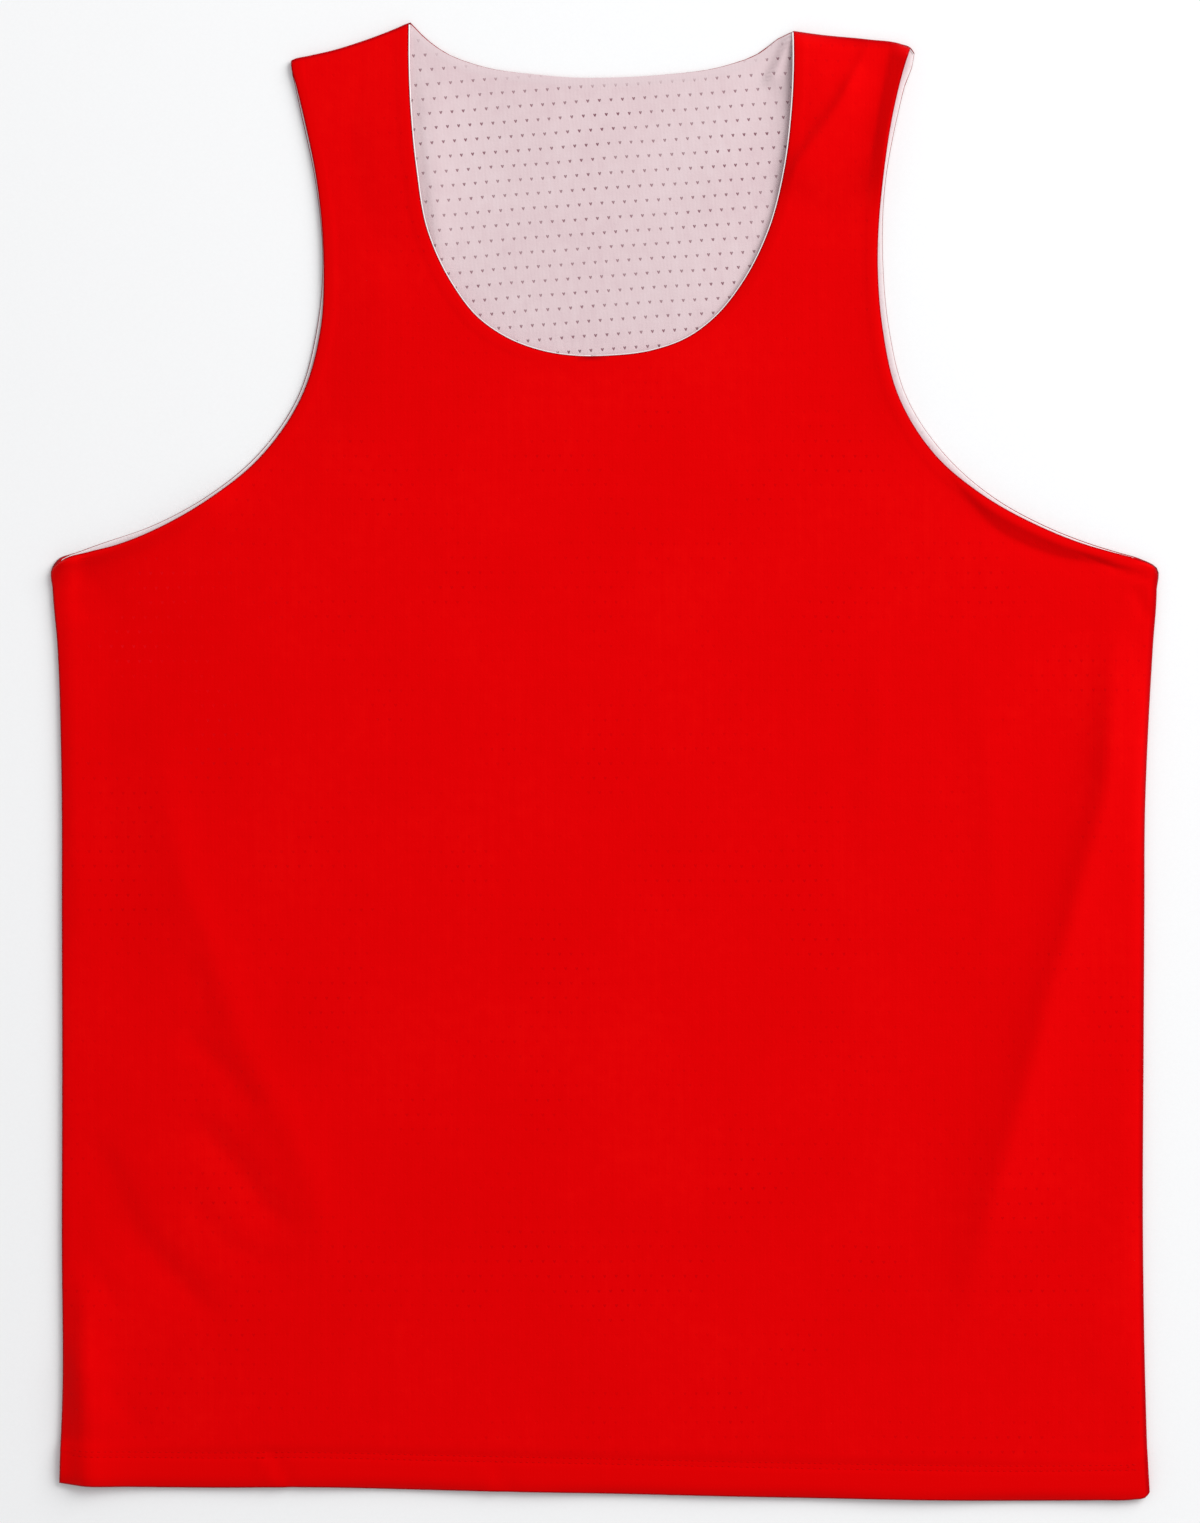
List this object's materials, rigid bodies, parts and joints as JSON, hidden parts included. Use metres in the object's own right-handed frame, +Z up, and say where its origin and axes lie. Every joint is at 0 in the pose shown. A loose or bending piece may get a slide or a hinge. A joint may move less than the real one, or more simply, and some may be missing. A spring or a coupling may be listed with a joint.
{
  "type": "basketball jersey",
  "caption": "Sleeveless basketball jersey laid out flat: a reversible vest with a deep scoop neck, a red mesh shell outside and a white mesh shell inside.",
  "frame": {"origin": "on the surface that the jersey lies on, under the middle of its outline", "axes": "+X across the chest, towards the right of someone who looks at the front with the neck up; +Y along the body from the hem to the neck; +Z up, out of the surface it lies on"},
  "size_m": [0.5614, 0.7504, 0.0102],
  "materials": {
    "red_mesh": "soft matte knit, polyester mesh, faint sheen",
    "white_mesh": "soft matte knit, polyester mesh",
    "white_mesh_back": "soft matte knit, polyester mesh",
    "red_mesh_back": "soft matte knit, polyester mesh, faint sheen"
  },
  "bodies": {
    "root": {"front_outer": "red_mesh", "front_inner": "white_mesh", "back_inner": "white_mesh_back", "back_outer": "red_mesh_back"}
  },
  "joints": []
}
